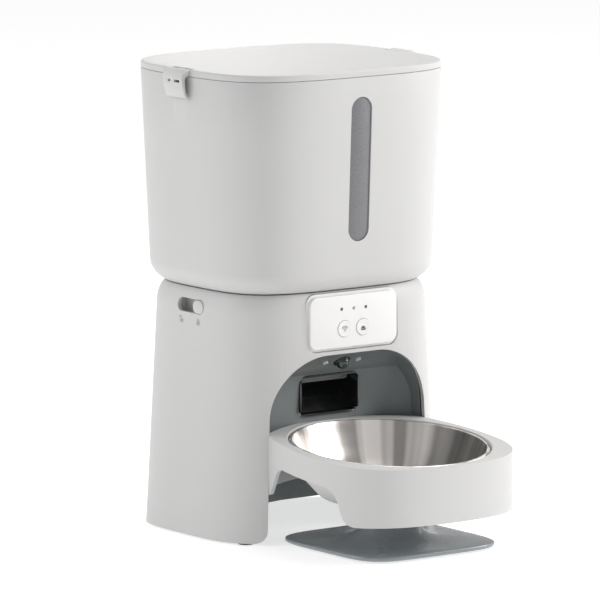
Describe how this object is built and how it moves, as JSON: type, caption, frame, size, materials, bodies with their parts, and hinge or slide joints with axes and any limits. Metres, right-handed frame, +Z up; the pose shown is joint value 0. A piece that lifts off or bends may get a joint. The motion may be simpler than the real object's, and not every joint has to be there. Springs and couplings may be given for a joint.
{
  "type": "automatic pet feeder",
  "caption": "Tall tapered food hopper with a clipped lid on a base whose front arch holds a dispensing chute over a tray with a round steel bowl.",
  "frame": {"origin": "centre of the footprint box, on the floor that the feeder stands on", "axes": "+Z up, -Y towards the bowl, which is the front, +X to the right of someone who faces the front"},
  "size_m": [0.2304, 0.3082, 0.3706],
  "materials": {
    "white_plastic": "fine satin moulding",
    "panel_plastic": "smooth satin",
    "dark_plastic": "fine matt texture",
    "grey_plastic": "satin moulding",
    "black_plastic": "gloss black",
    "inner_plastic": "plain moulding",
    "gear_plastic": "natural acetal",
    "window": "smoked, lightly speckled",
    "rubber": "matt rubber",
    "lens": "polished",
    "lamp_plastic": "clear moulding",
    "circuit_board": "solder mask",
    "cell_wrap": "printed sleeve",
    "bowl_steel": "bright satin stainless steel",
    "hardware_steel": "zinc plated"
  },
  "bodies": {
    "base": {"base_shell": "white_plastic", "niche_liner": "dark_plastic", "chute_duct": "black_plastic", "chute_baffle": "dark_plastic", "dispenser_deck": "inner_plastic", "motor_bracket": "inner_plastic", "gear_motor": "hardware_steel", "control_panel": "panel_plastic", "panel_board": "circuit_board", "indicator_left": "lamp_plastic", "indicator_middle": "lamp_plastic", "indicator_right": "lamp_plastic", "camera_lens": "lens", "infrared_left": "lamp_plastic", "infrared_right": "lamp_plastic", "speaker": "black_plastic", "main_board": "circuit_board", "battery_box": "inner_plastic", "battery_1": "cell_wrap", "battery_2": "cell_wrap", "battery_3": "cell_wrap", "battery_cover": "dark_plastic", "bottom_cover": "dark_plastic", "power_inlet": "black_plastic", "lock_housing": "inner_plastic", "battery_screw": "hardware_steel", "rubber_foot_1": "rubber", "rubber_foot_2": "rubber", "rubber_foot_3": "rubber", "rubber_foot_4": "rubber", "cover_screw_1": "hardware_steel", "cover_screw_2": "hardware_steel", "cover_screw_3": "hardware_steel", "cover_screw_4": "hardware_steel"},
    "hopper": {"hopper_shell": "white_plastic", "hopper_funnel": "white_plastic", "window_pane": "window", "hopper_seal": "rubber"},
    "lid": {"lid_cover": "white_plastic", "lid_seal": "rubber", "desiccant_box": "inner_plastic", "desiccant_cover": "inner_plastic", "latch_pin_left": "hardware_steel", "latch_pin_right": "hardware_steel"},
    "left_clip": {"latch_left": "white_plastic"},
    "right_clip": {"latch_right": "white_plastic"},
    "rotor": {"food_rotor": "grey_plastic", "rotor_shaft": "hardware_steel", "drive_gear": "gear_plastic"},
    "pinion": {"motor_pinion": "gear_plastic"},
    "wifi_key": {"wifi_button": "panel_plastic"},
    "feed_key": {"feed_button": "panel_plastic"},
    "lock": {"lock_slider": "white_plastic"},
    "tray": {"bowl_tray": "white_plastic", "tray_pedestal": "grey_plastic", "pedestal_pad": "rubber"},
    "bowl": {"food_bowl": "bowl_steel"}
  },
  "joints": [
    {"name": "hopper_lift", "type": "slide", "parent": "base", "child": "hopper", "axis": [0, 0, 1], "range_m": [0, 0.08]},
    {"name": "lid_lift", "type": "slide", "parent": "hopper", "child": "lid", "axis": [0, 0, 1], "range_m": [0, 0.06]},
    {"name": "left_clip_swing", "type": "hinge", "parent": "lid", "child": "left_clip", "pos_m": [-0.1055, 0.05985, 0.3673], "axis": [0, 1, 0], "range_deg": [0, 90]},
    {"name": "right_clip_swing", "type": "hinge", "parent": "lid", "child": "right_clip", "pos_m": [0.1055, 0.05985, 0.3673], "axis": [0, -1, 0], "range_deg": [0, 90]},
    {"name": "rotor_turn", "type": "hinge", "parent": "base", "child": "rotor", "pos_m": [0, 0.06785, 0.17], "axis": [0, 0, 1], "continuous": true},
    {"name": "pinion_turn", "type": "hinge", "parent": "base", "child": "pinion", "pos_m": [0, 0.093, 0.144], "axis": [0, 0, 1], "continuous": true},
    {"name": "wifi_press", "type": "slide", "parent": "base", "child": "wifi_key", "axis": [0, 1, 0], "range_m": [0, 0.001], "stiffness_N_per_m": 300},
    {"name": "feed_press", "type": "slide", "parent": "base", "child": "feed_key", "axis": [0, 1, 0], "range_m": [0, 0.001], "stiffness_N_per_m": 300},
    {"name": "lock_slide", "type": "slide", "parent": "base", "child": "lock", "axis": [0, 1, 0], "range_m": [0, 0.021]},
    {"name": "tray_slide", "type": "slide", "parent": "base", "child": "tray", "axis": [0, -1, 0], "range_m": [0, 0.06]},
    {"name": "bowl_lift", "type": "slide", "parent": "tray", "child": "bowl", "axis": [0, -0.0837, 0.9965], "range_m": [0, 0.03]}
  ],
  "couplings": [
    {"joint": "pinion_turn", "follows": "rotor_turn", "ratio": -3}
  ]
}
